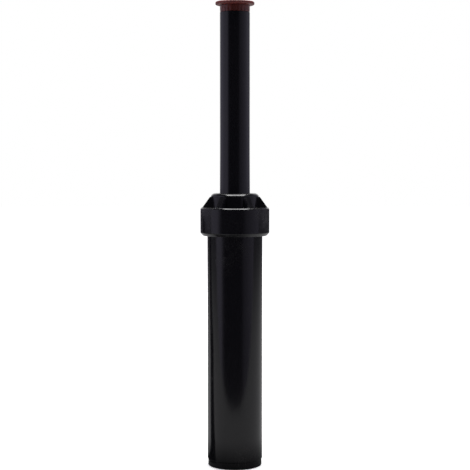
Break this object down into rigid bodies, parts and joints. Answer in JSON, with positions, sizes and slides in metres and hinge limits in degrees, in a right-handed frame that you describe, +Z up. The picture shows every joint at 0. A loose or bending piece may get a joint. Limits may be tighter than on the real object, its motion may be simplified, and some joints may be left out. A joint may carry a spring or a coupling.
{
  "type": "pop up sprinkler",
  "caption": "Pop-up spray sprinkler with a tall round case, gripped screw cap, raised riser tube and a flanged adjustable nozzle.",
  "frame": {"origin": "centre of the inlet end, at the mouth of the threaded socket, on the plane the case stands on", "axes": "+Z up the riser, -Y the front, +X to the right seen from the front"},
  "size_m": [0.056, 0.056, 0.3762],
  "materials": {
    "case_plastic": "satin black moulded plastic",
    "cap_plastic": "satin black moulded plastic",
    "riser_plastic": "smooth black moulded plastic",
    "inner_plastic": "matt dark moulded plastic",
    "seal_rubber": "matt black elastomer",
    "nozzle_plastic": "dark red-brown plastic",
    "collar_plastic": "red-brown plastic",
    "filter_plastic": "light grey plastic",
    "spring_steel": "bright stainless wire",
    "screw_steel": "bright stainless steel"
  },
  "bodies": {
    "housing": {"case": "case_plastic", "cap": "cap_plastic", "wiper_seal": "seal_rubber", "seal_retainer": "inner_plastic", "retract_spring": "spring_steel"},
    "ratchet": {"ratchet_ring": "inner_plastic"},
    "riser": {"riser_tube": "riser_plastic", "riser_base": "inner_plastic", "nozzle_base": "nozzle_plastic", "deflector": "nozzle_plastic", "filter_screen": "filter_plastic"},
    "collar": {"arc_collar": "collar_plastic"},
    "screw": {"radius_screw": "screw_steel"},
    "throttle": {"throttle_nut": "inner_plastic"}
  },
  "joints": [
    {"name": "riser_pop_up", "type": "slide", "parent": "housing", "child": "ratchet", "axis": [0, 0, 1], "range_m": [-0.15, 0], "stiffness_N_per_m": 164, "springref_m": 0.067, "deforming": ["retract_spring"]},
    {"name": "riser_turn", "type": "hinge", "parent": "ratchet", "child": "riser", "pos_m": [0, 0, 0.1727], "axis": [0, 0, 1], "continuous": true},
    {"name": "arc_set", "type": "hinge", "parent": "riser", "child": "collar", "pos_m": [0, 0, 0.3731], "axis": [0, 0, 1], "range_deg": [-180, 150]},
    {"name": "radius_set", "type": "hinge", "parent": "riser", "child": "screw", "pos_m": [0, 0, 0.3711], "axis": [0, 0, 1], "range_deg": [-1800.5, 0]},
    {"name": "throttle_lift", "type": "slide", "parent": "riser", "child": "throttle", "axis": [0, 0, 1], "range_m": [0, 0.004]}
  ],
  "couplings": [
    {"joint": "radius_set", "follows": "throttle_lift", "rad_per_m": -7854}
  ]
}
